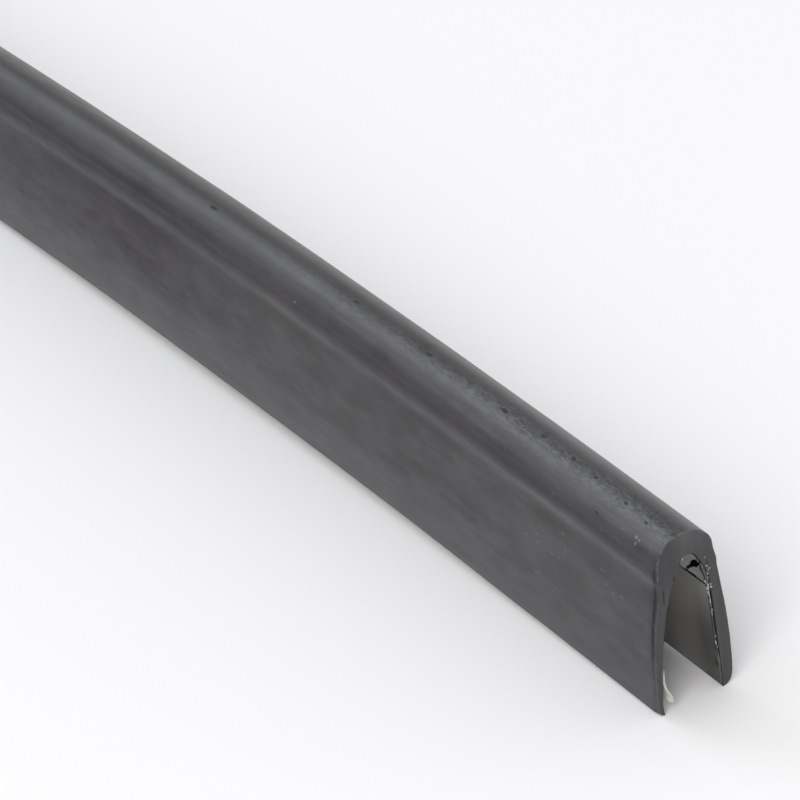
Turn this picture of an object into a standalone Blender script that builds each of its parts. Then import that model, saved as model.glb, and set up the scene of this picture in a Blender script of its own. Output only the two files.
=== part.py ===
"""Self-adhesive rubber edge trim, a metre of stock with both ends cut square.

The strip runs along X and stands on the tips of its two legs, with its slot open downwards.
Near its +X end it still has a slight bow from being wound, which lifts it a little off the floor.
Y is across the strip, with the thinner leg on the -Y side, and Z is up.
The origin is at the middle of its underside.
"""
import math

import bpy
import numpy as np

MM = 0.001

# Overall size of the extruded section
LENGTH = 1000 * MM
HEIGHT = 20 * MM
NEAR_HALF = 4.2 * MM
FAR_HALF = 4.7 * MM

# Bow near the +X end: the end touches the floor and the strip behind it arches up and settles again
BOW_RADIUS = 1.92
BOW_LENGTH = 135 * MM

# Outer face: a round head, an upright neck and two flaring legs, all fuller on the far side
HEAD_RADIUS = 3.55 * MM
NEAR_HEAD = 3.2 * MM
FAR_HEAD = 3.75 * MM
NEAR_NECK = 3.05 * MM
FAR_NECK = 3.8 * MM
NECK_DROP = 5.2 * MM
BELLY_HEIGHT = 4.5 * MM
FOOT_ROUNDING = 2.0 * MM
FOOT_FULLNESS = 2.6

# Slot: walls measured in from the outer face, and the narrow crown above them
NEAR_WALL_AT_FOOT = 0.4 * MM
FAR_WALL_AT_FOOT = 1.2 * MM
NEAR_WALL_AT_SHOULDER = 0.83 * MM
FAR_WALL_AT_SHOULDER = 1.15 * MM
NEAR_SHOULDER_DROP = 15.0 * MM
FAR_SHOULDER_DROP = 7.0 * MM
CROWN_WALL = 2.8 * MM
CROWN_RADIUS = 1.05 * MM
CROWN_OFFSET = 0.55 * MM
CROWN_END = 30
NEAR_BEND_DROP = 7.0 * MM
FAR_BEND_DROP = 5.7 * MM

# Adhesive lining: a film on both walls that thickens into a bead in the crown
LINING_GAP = 0.3 * MM
FILM = 0.3 * MM
FILM_END = 1.2 * MM
BEAD_DROP_NEAR = 4.1 * MM
BEAD_DROP_FAR = 7.2 * MM

# Facets of the round stretches
BOW_STEPS = 18
HEAD_STEPS = 20
FLANK_STEPS = 9
FOOT_STEPS = 8
CROWN_STEPS = 10
BEND_STEPS = 5

NEAR = -1
FAR = 1

neck_height = HEIGHT - NECK_DROP
settle_length = (math.sqrt(2) - 1) * BOW_LENGTH
end_slope = (BOW_LENGTH - settle_length) / BOW_RADIUS


def clear_scene():
    """Removes every object, so that the script can be run again in an open file."""
    for obj in list(bpy.data.objects):
        bpy.data.objects.remove(obj, do_unlink=True)


def make_material(name, colour, roughness, metallic=0.0):
    """A Principled material with one plain colour."""
    material = bpy.data.materials.new(name)
    material.use_nodes = True
    shader = material.node_tree.nodes["Principled BSDF"]
    shader.inputs["Base Color"].default_value = (*colour, 1.0)
    shader.inputs["Roughness"].default_value = roughness
    shader.inputs["Metallic"].default_value = metallic
    material.diffuse_color = (*colour, 1.0)
    return material


def arc(centre, radius, start, end, steps):
    """Points on a circle from one angle to another, in degrees, ends included."""
    angle = np.radians(np.linspace(start, end, steps + 1))
    return np.column_stack([centre[0] + radius * np.cos(angle), centre[1] + radius * np.sin(angle)])


def bend(start, corner, end, steps):
    """Points on a quadratic curve that leaves start towards corner and reaches end from it."""
    t = np.linspace(0, 1, steps + 1)[:, None]
    return (1 - t) ** 2 * start + 2 * t * (1 - t) * corner + t ** 2 * end


def half_width(side):
    """How far the belly of a leg stands from the head's middle."""
    return NEAR_HALF if side == NEAR else FAR_HALF


def flank(side, height):
    """How far an outer face stands out at a height: a quarter sine from the neck to the belly."""
    neck = NEAR_NECK if side == NEAR else FAR_NECK
    share = np.clip((neck_height - height) / (neck_height - BELLY_HEIGHT), 0, 1)
    return neck + (half_width(side) - neck) * np.sin(share * math.pi / 2)


def slot_mouth(side):
    """Where a wall of the slot meets the floor: the tip of that leg."""
    wall = NEAR_WALL_AT_FOOT if side == NEAR else FAR_WALL_AT_FOOT
    return np.array([side * (half_width(side) - wall), 0.0])


def slot_shoulder(side):
    """The upper end of a wall's straight stretch."""
    wall = NEAR_WALL_AT_SHOULDER if side == NEAR else FAR_WALL_AT_SHOULDER
    height = HEIGHT - (NEAR_SHOULDER_DROP if side == NEAR else FAR_SHOULDER_DROP)
    return np.array([side * (flank(side, height) - wall), height])


def slot_bend(side, crown_point):
    """The wall's upper stretch, from its shoulder round to a point of the crown.

    The curve's corner lies on the wall's own line, carried on upwards.
    """
    mouth, shoulder = slot_mouth(side), slot_shoulder(side)
    height = HEIGHT - (NEAR_BEND_DROP if side == NEAR else FAR_BEND_DROP)
    corner = mouth + (shoulder - mouth) * height / shoulder[1]
    return bend(shoulder, corner, crown_point, BEND_STEPS)


def slot_path():
    """The inner face of the section, from the near tip over the crown to the far tip."""
    crown_centre = (CROWN_OFFSET, HEIGHT - CROWN_WALL - CROWN_RADIUS)
    crown = arc(crown_centre, CROWN_RADIUS, 180, CROWN_END, CROWN_STEPS)
    near_bend = slot_bend(NEAR, crown[0])
    far_bend = slot_bend(FAR, crown[-1])[::-1]
    return np.vstack([slot_mouth(NEAR), near_bend, crown[1:], far_bend[1:], slot_mouth(FAR)])


def foot(side):
    """The outer corner of a leg, from the flank down to the tip: square near, rounded far."""
    tip = slot_mouth(side)
    if side == NEAR:
        return np.array([[side * NEAR_HALF, 0.0], tip])
    t = np.linspace(0, math.pi / 2, FOOT_STEPS + 1)
    reach = FAR_HALF - abs(tip[0])
    across = abs(tip[0]) + reach * np.cos(t) ** (2 / FOOT_FULLNESS)
    up = FOOT_ROUNDING * (1 - np.sin(t) ** (2 / FOOT_FULLNESS))
    return np.column_stack([side * across, up])


def outer_side(side):
    """One outer face, from the side of the head down to the tip of the leg."""
    heights = np.linspace(neck_height, BELLY_HEIGHT, FLANK_STEPS + 1)
    face = np.column_stack([side * flank(side, heights), heights])
    return np.vstack([face, foot(side)])


def head_face():
    """The top of the section: two quarter ellipses of one height, each with its own reach."""
    across, up = arc((0.0, 0.0), 1.0, 180, 0, HEAD_STEPS).T
    reach = np.where(across < 0, NEAR_HEAD, FAR_HEAD)
    return np.column_stack([across * reach, HEIGHT - HEAD_RADIUS + up * HEAD_RADIUS])


def channel_outline():
    """The closed section of the rubber, clockwise from the near tip when +X faces the reader."""
    head = head_face()
    near_side = outer_side(NEAR)[::-1]
    far_side = outer_side(FAR)
    slot = slot_path()[::-1]
    return np.vstack([near_side, head, far_side, slot[1:-1]])


def inset(path, distance):
    """A path moved into the slot by a distance, square to its own run, with mitred corners."""
    run = np.diff(path, axis=0)
    run /= np.linalg.norm(run, axis=1)[:, None]
    before = np.vstack([run[:1], run])
    after = np.vstack([run, run[-1:]])
    mean = before + after
    mean /= np.linalg.norm(mean, axis=1)[:, None]
    half_cosine = np.sum(mean * after, axis=1)[:, None]
    inward = np.column_stack([mean[:, 1], -mean[:, 0]])
    return path + inward * distance / half_cosine


def between(path, low, high):
    """The part of a rising path from one height to another, both ends cut exactly."""
    inside = path[(path[:, 1] > low) & (path[:, 1] < high)]
    ends = [[np.interp(z, path[:, 1], path[:, 0]), z] for z in (low, high)]
    return np.vstack([ends[:1], inside, ends[1:]])


def lining_outline():
    """The closed section of the adhesive: film on both walls, joined by the bead in the crown."""
    against_wall = inset(slot_path(), LINING_GAP)
    open_face = inset(slot_path(), LINING_GAP + FILM)
    top = int(np.argmax(against_wall[:, 1]))
    peak = against_wall[top, 1]
    near_back = between(against_wall[: top + 1], FILM_END, peak)
    far_back = between(against_wall[top:][::-1], FILM_END, peak)
    top = int(np.argmax(open_face[:, 1]))
    near_face = between(open_face[: top + 1], FILM_END, HEIGHT - BEAD_DROP_NEAR)
    far_face = between(open_face[top:][::-1], FILM_END, HEIGHT - BEAD_DROP_FAR)
    return np.vstack([near_back, far_back[::-1][1:], far_face, near_face[::-1]])


def rise(distance):
    """How far the underside is off the floor, at a distance back from the bowed end.

    An arc of BOW_RADIUS bends down over BOW_LENGTH, and an equal arc bends back up until the
    strip lies flat. The settling length makes both arcs meet with the floor at zero height.
    """
    arch = end_slope * distance - distance ** 2 / (2 * BOW_RADIUS)
    left = np.clip(BOW_LENGTH + settle_length - distance, 0, None)
    return np.where(distance < BOW_LENGTH, arch, left ** 2 / (2 * BOW_RADIUS))


def centre_line():
    """Points under the strip's middle, from the bowed end to the straight one.

    The bowed end leans forward by end_slope, so the strip is set back by half of what its head
    overhangs there. The far side is the wider one, so the strip is also set to the near side by
    half the difference. Both keep the origin in the middle.
    """
    bowed = np.linspace(0, BOW_LENGTH + settle_length, BOW_STEPS + 1)
    distance = np.append(bowed, LENGTH)
    overhang = end_slope * HEIGHT
    along = LENGTH / 2 - overhang / 2 - distance
    across = np.full_like(along, (NEAR_HALF - FAR_HALF) / 2)
    return np.column_stack([along, across, rise(distance)])


def poly_spline(curve, points, cyclic):
    """Adds a spline of straight runs through the points."""
    spline = curve.splines.new("POLY")
    spline.points.add(len(points) - 1)
    for target, point in zip(spline.points, points):
        target.co = (*point, 1)
    spline.use_cyclic_u = cyclic


def sweep(name, outline, path, material, collection, guides):
    """A closed outline carried along a path, upright all the way, with both ends capped."""
    section = bpy.data.curves.new(name + "_section", "CURVE")
    section.dimensions = "2D"
    poly_spline(section, np.column_stack([outline, np.zeros(len(outline))]), cyclic=True)
    guide = bpy.data.objects.new(name + "_section", section)
    guide.hide_render = True
    guide.display_type = "WIRE"
    guides.objects.link(guide)

    curve = bpy.data.curves.new(name, "CURVE")
    curve.dimensions = "3D"
    curve.twist_mode = "Z_UP"
    curve.bevel_mode = "OBJECT"
    curve.bevel_object = guide
    curve.use_fill_caps = True
    poly_spline(curve, path, cyclic=False)
    curve.materials.append(material)
    obj = bpy.data.objects.new(name, curve)
    collection.objects.link(obj)
    return obj


def new_collection(name):
    """A collection of its own in the scene."""
    collection = bpy.data.collections.new(name)
    bpy.context.scene.collection.children.link(collection)
    return collection


def main():
    clear_scene()
    trim = new_collection("edge_trim_seal")
    guides = new_collection("section_guides")
    rubber = make_material("black_rubber", (0.052, 0.052, 0.056), 0.55)
    adhesive = make_material("pale_adhesive", (0.42, 0.43, 0.36), 0.4)
    path = centre_line()
    sweep("rubber_channel", channel_outline(), path, rubber, trim, guides)
    sweep("adhesive_lining", lining_outline(), path, adhesive, trim, guides)


main()
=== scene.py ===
# %% [markdown]
# # Self-adhesive rubber edge trim, a metre of stock
#
# The real object is a black rubber strip that is pushed over the edge of a sheet of metal or glass.
# It is squeezed through a die, so every slice of it has the same section: a round head, a slightly
# waisted neck and two legs with a slot between them. A pale adhesive film lines the slot, and a bead
# of the same adhesive fills its crown.
#
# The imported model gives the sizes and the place. This script dresses it: it makes both pieces again
# as fine surfaces around the same section and the same centre line, with the small marks of the
# extruding, cutting and handling, and gives them their finishes.

# %% Load the fixed frame
import math
from functools import partial

import bpy
import numpy as np
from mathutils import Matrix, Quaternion, Vector


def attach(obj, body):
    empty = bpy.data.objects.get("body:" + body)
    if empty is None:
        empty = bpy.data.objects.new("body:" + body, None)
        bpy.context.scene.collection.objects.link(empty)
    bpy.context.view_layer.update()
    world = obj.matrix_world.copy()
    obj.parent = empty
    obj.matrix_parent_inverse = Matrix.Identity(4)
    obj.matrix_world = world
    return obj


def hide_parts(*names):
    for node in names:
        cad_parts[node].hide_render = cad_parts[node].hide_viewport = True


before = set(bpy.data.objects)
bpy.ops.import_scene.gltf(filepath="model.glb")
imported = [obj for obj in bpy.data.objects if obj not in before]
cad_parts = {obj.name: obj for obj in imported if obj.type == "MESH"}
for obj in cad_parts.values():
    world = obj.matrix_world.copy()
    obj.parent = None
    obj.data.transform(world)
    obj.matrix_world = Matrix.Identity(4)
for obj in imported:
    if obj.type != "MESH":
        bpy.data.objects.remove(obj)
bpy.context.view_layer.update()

# %% [markdown]
# ## The section in numbers
#
# A die-made strip is described by one drawing of its section. These are the sizes of that drawing,
# the same as in the CAD, in metres. Y runs across the strip and height runs up from the leg tips.
# The near side is -Y. The two sides differ: the near leg is thin and tapers to a square tip, the far
# one is thicker and its tip is rounded. Across the section everything is measured from the middle of
# the head, so the whole strip is set to the near side by half of what the far side is wider.

# %% Sizes of the section and of the bow
MM = 0.001
LENGTH = 1000 * MM
HEIGHT = 20 * MM
NEAR, FAR = -1, 1
HALF_WIDTH = {NEAR: 4.2 * MM, FAR: 4.7 * MM}
NECK = {NEAR: 3.05 * MM, FAR: 3.8 * MM}
HEAD_REACH = {NEAR: 3.2 * MM, FAR: 3.75 * MM}
HEAD_RADIUS = 3.55 * MM
NECK_HEIGHT = HEIGHT - 5.2 * MM
BELLY_HEIGHT = 4.5 * MM
FOOT_ROUNDING = 2.0 * MM
FOOT_FULLNESS = 2.6
MOUTH = {NEAR: -HALF_WIDTH[NEAR] + 0.4 * MM, FAR: HALF_WIDTH[FAR] - 1.2 * MM}
SHOULDER_HEIGHT = {NEAR: 5.0 * MM, FAR: 13.0 * MM}
SHOULDER_WALL = {NEAR: 0.83 * MM, FAR: 1.15 * MM}
BEND_HEIGHT = {NEAR: 13.0 * MM, FAR: 14.3 * MM}
CROWN_RADIUS = 1.05 * MM
CROWN_CENTRE = (0.55 * MM, HEIGHT - 2.8 * MM - CROWN_RADIUS)
CROWN_END = 30
SIDE_SHIFT = (HALF_WIDTH[NEAR] - HALF_WIDTH[FAR]) / 2
BOW_RADIUS = 1.92
BOW_LENGTH = 135 * MM
SETTLE_LENGTH = (math.sqrt(2) - 1) * BOW_LENGTH
END_SLOPE = (BOW_LENGTH - SETTLE_LENGTH) / BOW_RADIUS
print("arched length in mm:", round((BOW_LENGTH + SETTLE_LENGTH) / MM, 1))

# %% [markdown]
# ## The centre line
#
# A strip that was wound on a reel keeps a slight bow. Here the front end touches the floor, the
# strip behind it arches up by about a millimetre and a half, and then it lies flat. The section is
# carried along this line and stays square to it. A Blender curve with a bevel object could do this,
# but a formula lets each point of the surface have its own distance and its own relief.


# %% From section coordinates to the frame
def rise(distance):
    """Height of the underside: a parabola that bends down over BOW_LENGTH, then an equal one back up."""
    arch = END_SLOPE * distance - distance ** 2 / (2 * BOW_RADIUS)
    left = np.clip(BOW_LENGTH + SETTLE_LENGTH - distance, 0, None)
    return np.where(distance < BOW_LENGTH, arch, left ** 2 / (2 * BOW_RADIUS))


def slope(distance):
    """How steeply the underside climbs at a distance: the derivative of rise."""
    left = np.clip(BOW_LENGTH + SETTLE_LENGTH - distance, 0, None)
    return np.where(distance < BOW_LENGTH, END_SLOPE - distance / BOW_RADIUS, -left / BOW_RADIUS)


def carry(strip_points):
    """Frame positions of (across, height, distance) points.

    A point stands its height above the centre line, square to the line: along the strip it moves by
    height times the slope over the normal's length, and up by height over that length. Across, it
    moves by the side shift.
    """
    across, height, distance = np.moveaxis(strip_points, -1, 0)
    lean = slope(distance)
    stretch = np.sqrt(1 + lean ** 2)
    start = (LENGTH - END_SLOPE * HEIGHT) / 2
    along = start - distance + height * lean / stretch
    return np.stack([along, across + SIDE_SHIFT, rise(distance) + height / stretch], axis=-1)


crest = rise(np.linspace(0, BOW_LENGTH, 200)).max()
print("crest of the bow in mm:", round(float(crest) / MM, 2))

# %% [markdown]
# ## The outline of the rubber
#
# Two open curves describe the section, both drawn from the near tip over the top to the far tip: the
# outer face, and the wall of the slot. Between them lies the rubber. Both get the same number of
# points, so that a straight line across the wall joins each pair. That makes the flat cut ends as
# easy to fill as the sides.


# %% Curves of the section
def arc(centre, radius, start, end, count=40):
    """Points on a circle from one angle to another, in degrees."""
    angle = np.radians(np.linspace(start, end, count))
    return np.column_stack([centre[0] + radius * np.cos(angle), centre[1] + radius * np.sin(angle)])


def bend(start, corner, end, count=24):
    """Points on a quadratic curve that leaves start towards corner and reaches end from it."""
    t = np.linspace(0, 1, count)[:, None]
    return (1 - t) ** 2 * start + 2 * t * (1 - t) * corner + t ** 2 * end


def flank(side, height):
    """Where an outer face stands at a height: a quarter sine from the neck out to the belly."""
    share = np.clip((NECK_HEIGHT - height) / (NECK_HEIGHT - BELLY_HEIGHT), 0, 1)
    return side * (NECK[side] + (HALF_WIDTH[side] - NECK[side]) * np.sin(share * math.pi / 2))


def even(path, count):
    """The same path with points spaced evenly along its length."""
    length = np.r_[0, np.cumsum(np.linalg.norm(np.diff(path, axis=0), axis=1))]
    wanted = np.linspace(0, length[-1], count)
    return np.column_stack([np.interp(wanted, length, path[:, k]) for k in (0, 1)])


def soften(path, reach):
    """The path with its corners rounded: each fine point becomes the mean of those within reach."""
    fine_step = 0.02 * MM
    length = np.linalg.norm(np.diff(path, axis=0), axis=1).sum()
    fine = even(path, int(length / fine_step))
    half = max(1, int(reach / fine_step))
    padded = np.pad(fine, ((half, half), (0, 0)), mode="reflect", reflect_type="odd")
    total = np.cumsum(np.vstack([[0, 0], padded]), axis=0)
    width = 2 * half + 1
    return (total[width:] - total[:-width]) / width


heights = np.linspace(NECK_HEIGHT, BELLY_HEIGHT, 60)
TIP_FLAT, TIP_EDGE, FAR_LIP = 0.12 * MM, 0.1 * MM, 0.1 * MM
near_tip = np.array([[-HALF_WIDTH[NEAR], TIP_EDGE], [-HALF_WIDTH[NEAR] + TIP_EDGE, 0],
                     [MOUTH[NEAR] - TIP_FLAT, 0]])
t = np.linspace(0, math.pi / 2 * 0.94, 30)
far_reach = HALF_WIDTH[FAR] - MOUTH[FAR] + FAR_LIP
far_tip = np.column_stack([
    MOUTH[FAR] - FAR_LIP + far_reach * np.cos(t) ** (2 / FOOT_FULLNESS),
    FOOT_ROUNDING * (1 - np.sin(t) ** (2 / FOOT_FULLNESS))])
near_outside = np.vstack([np.column_stack([flank(NEAR, heights), heights]), near_tip])[::-1]
far_outside = np.vstack([np.column_stack([flank(FAR, heights), heights]), far_tip])
head = arc((0, HEIGHT - HEAD_RADIUS), HEAD_RADIUS, 180, 0, 120)
head[:, 0] *= np.where(head[:, 0] < 0, HEAD_REACH[NEAR], HEAD_REACH[FAR]) / HEAD_RADIUS
outer_path = soften(np.vstack([near_outside, head, far_outside]), 0.08 * MM)


def slot_bend(side, crown_point):
    """A wall's upper stretch: it bends round a corner that lies on the wall's own line."""
    mouth = np.array([MOUTH[side], 0.0])
    high = SHOULDER_HEIGHT[side]
    shoulder = np.array([flank(side, high) - side * SHOULDER_WALL[side], high])
    corner = mouth + (shoulder - mouth) * BEND_HEIGHT[side] / high
    return bend(shoulder, corner, crown_point)


crown = arc(CROWN_CENTRE, CROWN_RADIUS, 180, CROWN_END)
near_bend = slot_bend(NEAR, crown[0])
far_bend = slot_bend(FAR, crown[-1])[::-1]
near_foot = np.array([[MOUTH[NEAR], 0]])
far_foot = np.array([[MOUTH[FAR], 0.8 * MM], [MOUTH[FAR] - FAR_LIP, 0]])
inner_path = soften(np.vstack([near_foot, near_bend, crown[1:], far_bend[1:], far_foot]), 0.05 * MM)
outer_path[:, 1] = np.clip(outer_path[:, 1], 0, HEIGHT)
print("outer path points:", len(outer_path), "slot path points:", len(inner_path))


# %% [markdown]
# The outer face is a good deal longer than the slot's wall, so the two are matched in three
# stretches: the near leg, the head with the crown under it, and the far leg. The stretches meet at
# one height, a little below the neck.


# %% Matching the two curves
def point_at(path, height, side):
    """Number of the path's point nearest a height, on the near or the far side of its top."""
    top = int(np.argmax(path[:, 1]))
    first, last = (0, top) if side == NEAR else (top, len(path))
    return first + int(np.argmin(np.abs(path[first:last, 1] - height)))


def stretches(path, cuts, counts):
    """Evenly spaced points on the stretches of a path between given point numbers."""
    made = [even(path[a: b + 1], count + 1) for a, b, count in zip(cuts, cuts[1:], counts)]
    return np.vstack([made[0]] + [part[1:] for part in made[1:]])


def split_at(path, height, counts):
    """Evenly spaced points on three stretches of a path: up to a height, over the top, and down."""
    cuts = 0, point_at(path, height, NEAR), point_at(path, height, FAR), len(path) - 1
    return stretches(path, cuts, counts)


MEETING_HEIGHT = 13.0 * MM
RUBBER_STEPS = (42, 64, 36)
outer_face = split_at(outer_path, MEETING_HEIGHT, RUBBER_STEPS)
slot_face = split_at(inner_path, MEETING_HEIGHT, RUBBER_STEPS)
across_length = np.r_[0, np.cumsum(np.linalg.norm(np.diff(outer_face, axis=0), axis=1))]
print("pairs across the wall:", len(outer_face), "outer face in mm:", round(across_length[-1] / MM, 2))

# %% [markdown]
# ## Relief
#
# An extruded surface is never quite even. The die and the haul-off leave long shallow ripples,
# handling leaves dents, and the knife that cut the strip pressed its outer skin in just behind the
# cut. A Displace modifier with a texture could do it. Worked out in numpy the relief can follow the
# strip's own coordinates, and the same noise gives the same strip on every run.


# %% Noise on the strip's own coordinates
def smooth(value):
    """The smoothstep curve: 0 below 0, 1 above 1, and an easy S between."""
    value = np.clip(value, 0, 1)
    return value * value * (3 - 2 * value)


def hump(value, centre, reach):
    """A bell of height 1 at its centre: the exponential of minus the squared offset over reach."""
    return np.exp(-((value - centre) / reach) ** 2)


def noise(a, b, seed):
    """Random heights between -1 and 1 on a square lattice, blended between each four corners."""
    table = np.random.default_rng(seed).uniform(-1, 1, (128, 128))
    a, b = np.broadcast_arrays(a, b)
    row, column = np.floor(a).astype(int), np.floor(b).astype(int)
    down, right = smooth(a - row), smooth(b - column)
    corner = [[table[(row + i) % 128, (column + j) % 128] for j in (0, 1)] for i in (0, 1)]
    upper = corner[0][0] * (1 - right) + corner[0][1] * right
    lower = corner[1][0] * (1 - right) + corner[1][1] * right
    return upper * (1 - down) + lower * down


def outward(path, side):
    """Unit normals of a path in the section: the run turned a quarter, to the side that is air."""
    run = np.gradient(path, axis=0)
    run /= np.linalg.norm(run, axis=1)[:, None]
    return side * np.column_stack([-run[:, 1], run[:, 0]])


# %% [markdown]
# The relief of the outer face has five parts. The waist and the small bulge under the head belong to
# the die's own drawing. The ripples run along the strip. The dents sit on the crown of the head, most
# of them near the front end, where the strip was handled. The skin is drawn in behind the cut. Last,
# the cut corner itself is slightly rounded.

# %% Relief of the outer face
WAIST_DEPTH, WAIST_HEIGHT, WAIST_REACH = 0.13 * MM, 16.8 * MM, 0.7 * MM
BULGE_DEPTH, BULGE_HEIGHT, BULGE_REACH = 0.08 * MM, 15.25 * MM, 0.55 * MM
CORNER_ROUNDING = 0.09 * MM
BASE_INSET = 0.045 * MM
RIPPLES = ((2.3 * MM, 27 * MM, 0.03 * MM), (1.1 * MM, 6 * MM, 0.012 * MM))
DRAWN_DEPTH, DRAWN_PLACE, DRAWN_REACH, DRAWN_TOP = 0.06 * MM, 0.42 * MM, 0.26 * MM, 17.5 * MM
DENTS = 46


def dents(across, distance):
    """Sum of small round bells: deep and many near the front end, each with its own place and reach."""
    pick = np.random.default_rng(11)
    places = pick.uniform(18.3, 22.3, DENTS) * MM
    backs = (2 + 75 * pick.uniform(0, 1, DENTS) ** 1.6) * MM
    reaches = pick.uniform(0.25, 0.7, DENTS) * MM
    depths = pick.uniform(0.02, 0.09, DENTS) * MM
    gap = ((across[..., None] - places) ** 2 + ((distance[..., None] - backs) / 1.5) ** 2)
    return (depths * np.exp(-gap / reaches ** 2)).sum(axis=-1)


def from_cut(distance):
    """How far a point is from the nearer of the two cut ends."""
    return np.minimum(distance, LENGTH - distance)


def corner_inset(distance, rounding):
    """How much a quarter circle of that radius draws the skin in, at a distance from the cut."""
    short = np.clip(rounding - from_cut(distance), 0, rounding)
    return rounding - np.sqrt(rounding ** 2 - short ** 2)


def outer_relief(across, height, side, distance):
    """How far the outer face stands out from the drawing, point by point."""
    total = BULGE_DEPTH * hump(height, BULGE_HEIGHT, BULGE_REACH)
    total = total - WAIST_DEPTH * hump(height, WAIST_HEIGHT, WAIST_REACH)
    for seed, (broad, long, depth) in enumerate(RIPPLES, 1):
        total = total + noise(across / broad, distance / long, seed) * depth
    drawn_in = DRAWN_DEPTH * hump(from_cut(distance), DRAWN_PLACE, DRAWN_REACH)
    drawn_in = drawn_in * smooth((DRAWN_TOP - height) / (2 * MM)) * smooth(height / (3 * MM)) * (side < 0)
    drawn_in = drawn_in * (0.85 + 0.15 * noise(height / (1.3 * MM), distance / MM, 3))
    total = total - drawn_in - dents(across, distance) - BASE_INSET
    return total - corner_inset(distance, CORNER_ROUNDING)


# %% [markdown]
# ## Where the rings go
#
# A ring of points is placed at each of these distances from the front cut. They are close together
# behind the cuts, half a millimetre to a millimetre apart along the part that is looked at closely,
# and wide apart where the strip is only long.

# %% Distances of the rings
END_GAP = 0.06 * MM


def stations(fine_step, fine_until, grow, coarse_step):
    """Distances that start very close, reach fine_step, then grow by a share up to coarse_step."""
    start = [0, 0.02, 0.045, 0.075, 0.12, 0.18, 0.25, 0.33, 0.42, 0.52, 0.64, 0.8, 1.0, 1.25, 1.6]
    marks = [value * MM for value in start]
    step = fine_step
    while marks[-1] < LENGTH / 2:
        marks.append(marks[-1] + step)
        if marks[-1] > fine_until:
            step = min(step * grow, coarse_step)
    front = np.array(marks[:-1])
    back_start = np.array(start) * MM
    middle = np.arange(front[-1] + coarse_step, LENGTH - 6 * MM, coarse_step)
    back = LENGTH - 2 * END_GAP - back_start[::-1]
    return np.r_[front, middle, back] + END_GAP


rubber_stations = stations(0.62 * MM, 118 * MM, 1.16, 24 * MM)
print("rings along the rubber:", len(rubber_stations))

# %% [markdown]
# ## The knife's face
#
# The strip was cut with a blade, so its end is flat but not polished: shallow steps run across it in
# the direction in which the blade travelled. The set-back is always towards the inside, so the piece
# stays within its length.


# %% Set-back of the cut face
KNIFE_ANGLE = math.radians(62)
KNIFE_DEPTH, KNIFE_FADE = 0.05 * MM, 2 * MM


def knife_marks(across, height, seed):
    """Set-back of the cut face: coarse and fine noise drawn out along the blade's path."""
    travel = across * math.cos(KNIFE_ANGLE) + height * math.sin(KNIFE_ANGLE)
    over = -across * math.sin(KNIFE_ANGLE) + height * math.cos(KNIFE_ANGLE)
    steps = noise(over / (0.55 * MM), travel / (6 * MM), seed)
    fine = noise(over / (0.2 * MM), travel / (3 * MM), seed + 1)
    return (0.5 + 0.35 * steps + 0.15 * fine) * KNIFE_DEPTH


def settle_cut(points, seed):
    """Points near both cuts moved in by the knife marks, fading out over two millimetres."""
    across, height, distance = points[..., 0], points[..., 1], points[..., 2]
    fade = 1 - smooth(from_cut(distance) / KNIFE_FADE)
    inward = np.where(distance < LENGTH / 2, 1, -1)
    moved = points.copy()
    moved[..., 2] += inward * fade * knife_marks(across, height, seed)
    return moved


# %% [markdown]
# ## A wall carried along a path
#
# Both pieces are the same kind of body: a wall between two curves, carried along the strip. Its
# rings are closed loops of points, and each cut end is a grid between the outer and the inner curve
# that shares its border points with the last ring, so the body is closed without a seam. The faces
# are index arrays, made for all rings at once.


# %% Rings, caps and faces of a wall
def fill(outer, inner, steps):
    """Values for every vertex of a wall body, from values on its outer and inner curves.

    The wall between a pair is divided into straight steps. Each ring runs along the outer curve,
    through the far tip, back along the inner curve, and through the near tip. The insides of the
    two cut ends come after the rings.
    """
    share = (np.arange(1, steps) / steps)[None, :, None]
    far_tip_values = outer[:, -1:] * (1 - share) + inner[:, -1:] * share
    near_tip_values = inner[:, :1] * (1 - share) + outer[:, :1] * share
    rings = np.concatenate([outer, far_tip_values, inner[:, ::-1], near_tip_values], axis=1)
    caps = [outer[end, 1:-1, None] * (1 - share) + inner[end, 1:-1, None] * share for end in (0, -1)]
    channels = outer.shape[-1]
    return np.vstack([rings.reshape(-1, channels)] + [cap.reshape(-1, channels) for cap in caps])


def wall_faces(rings, pairs, steps):
    """Quads of a wall body: one band between each two rings, and a grid on each cut end."""
    around = 2 * pairs + 2 * (steps - 1)
    index = np.arange(rings * around).reshape(rings, around)
    after = np.roll(index, -1, axis=1)
    quads = [np.stack([index[:-1], after[:-1], after[1:], index[1:]], axis=-1).reshape(-1, 4)]
    used = rings * around
    for end in (0, rings - 1):
        grid = np.empty((pairs, steps + 1), int)
        grid[:, 0] = index[end, :pairs]
        grid[:, -1] = index[end, pairs + steps - 1: 2 * pairs + steps - 1][::-1]
        grid[-1, 1:-1] = index[end, pairs: pairs + steps - 1]
        grid[0, 1:-1] = index[end, 2 * pairs + steps - 1:][::-1]
        inside = (pairs - 2, steps - 1)
        grid[1:-1, 1:-1] = used + np.arange(inside[0] * inside[1]).reshape(inside)
        used += inside[0] * inside[1]
        cells = np.stack([grid[:-1, :-1], grid[:-1, 1:], grid[1:, 1:], grid[1:, :-1]], axis=-1)
        quads.append(cells.reshape(-1, 4)[:, :: 1 if end == 0 else -1])
    return np.vstack(quads)


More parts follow.
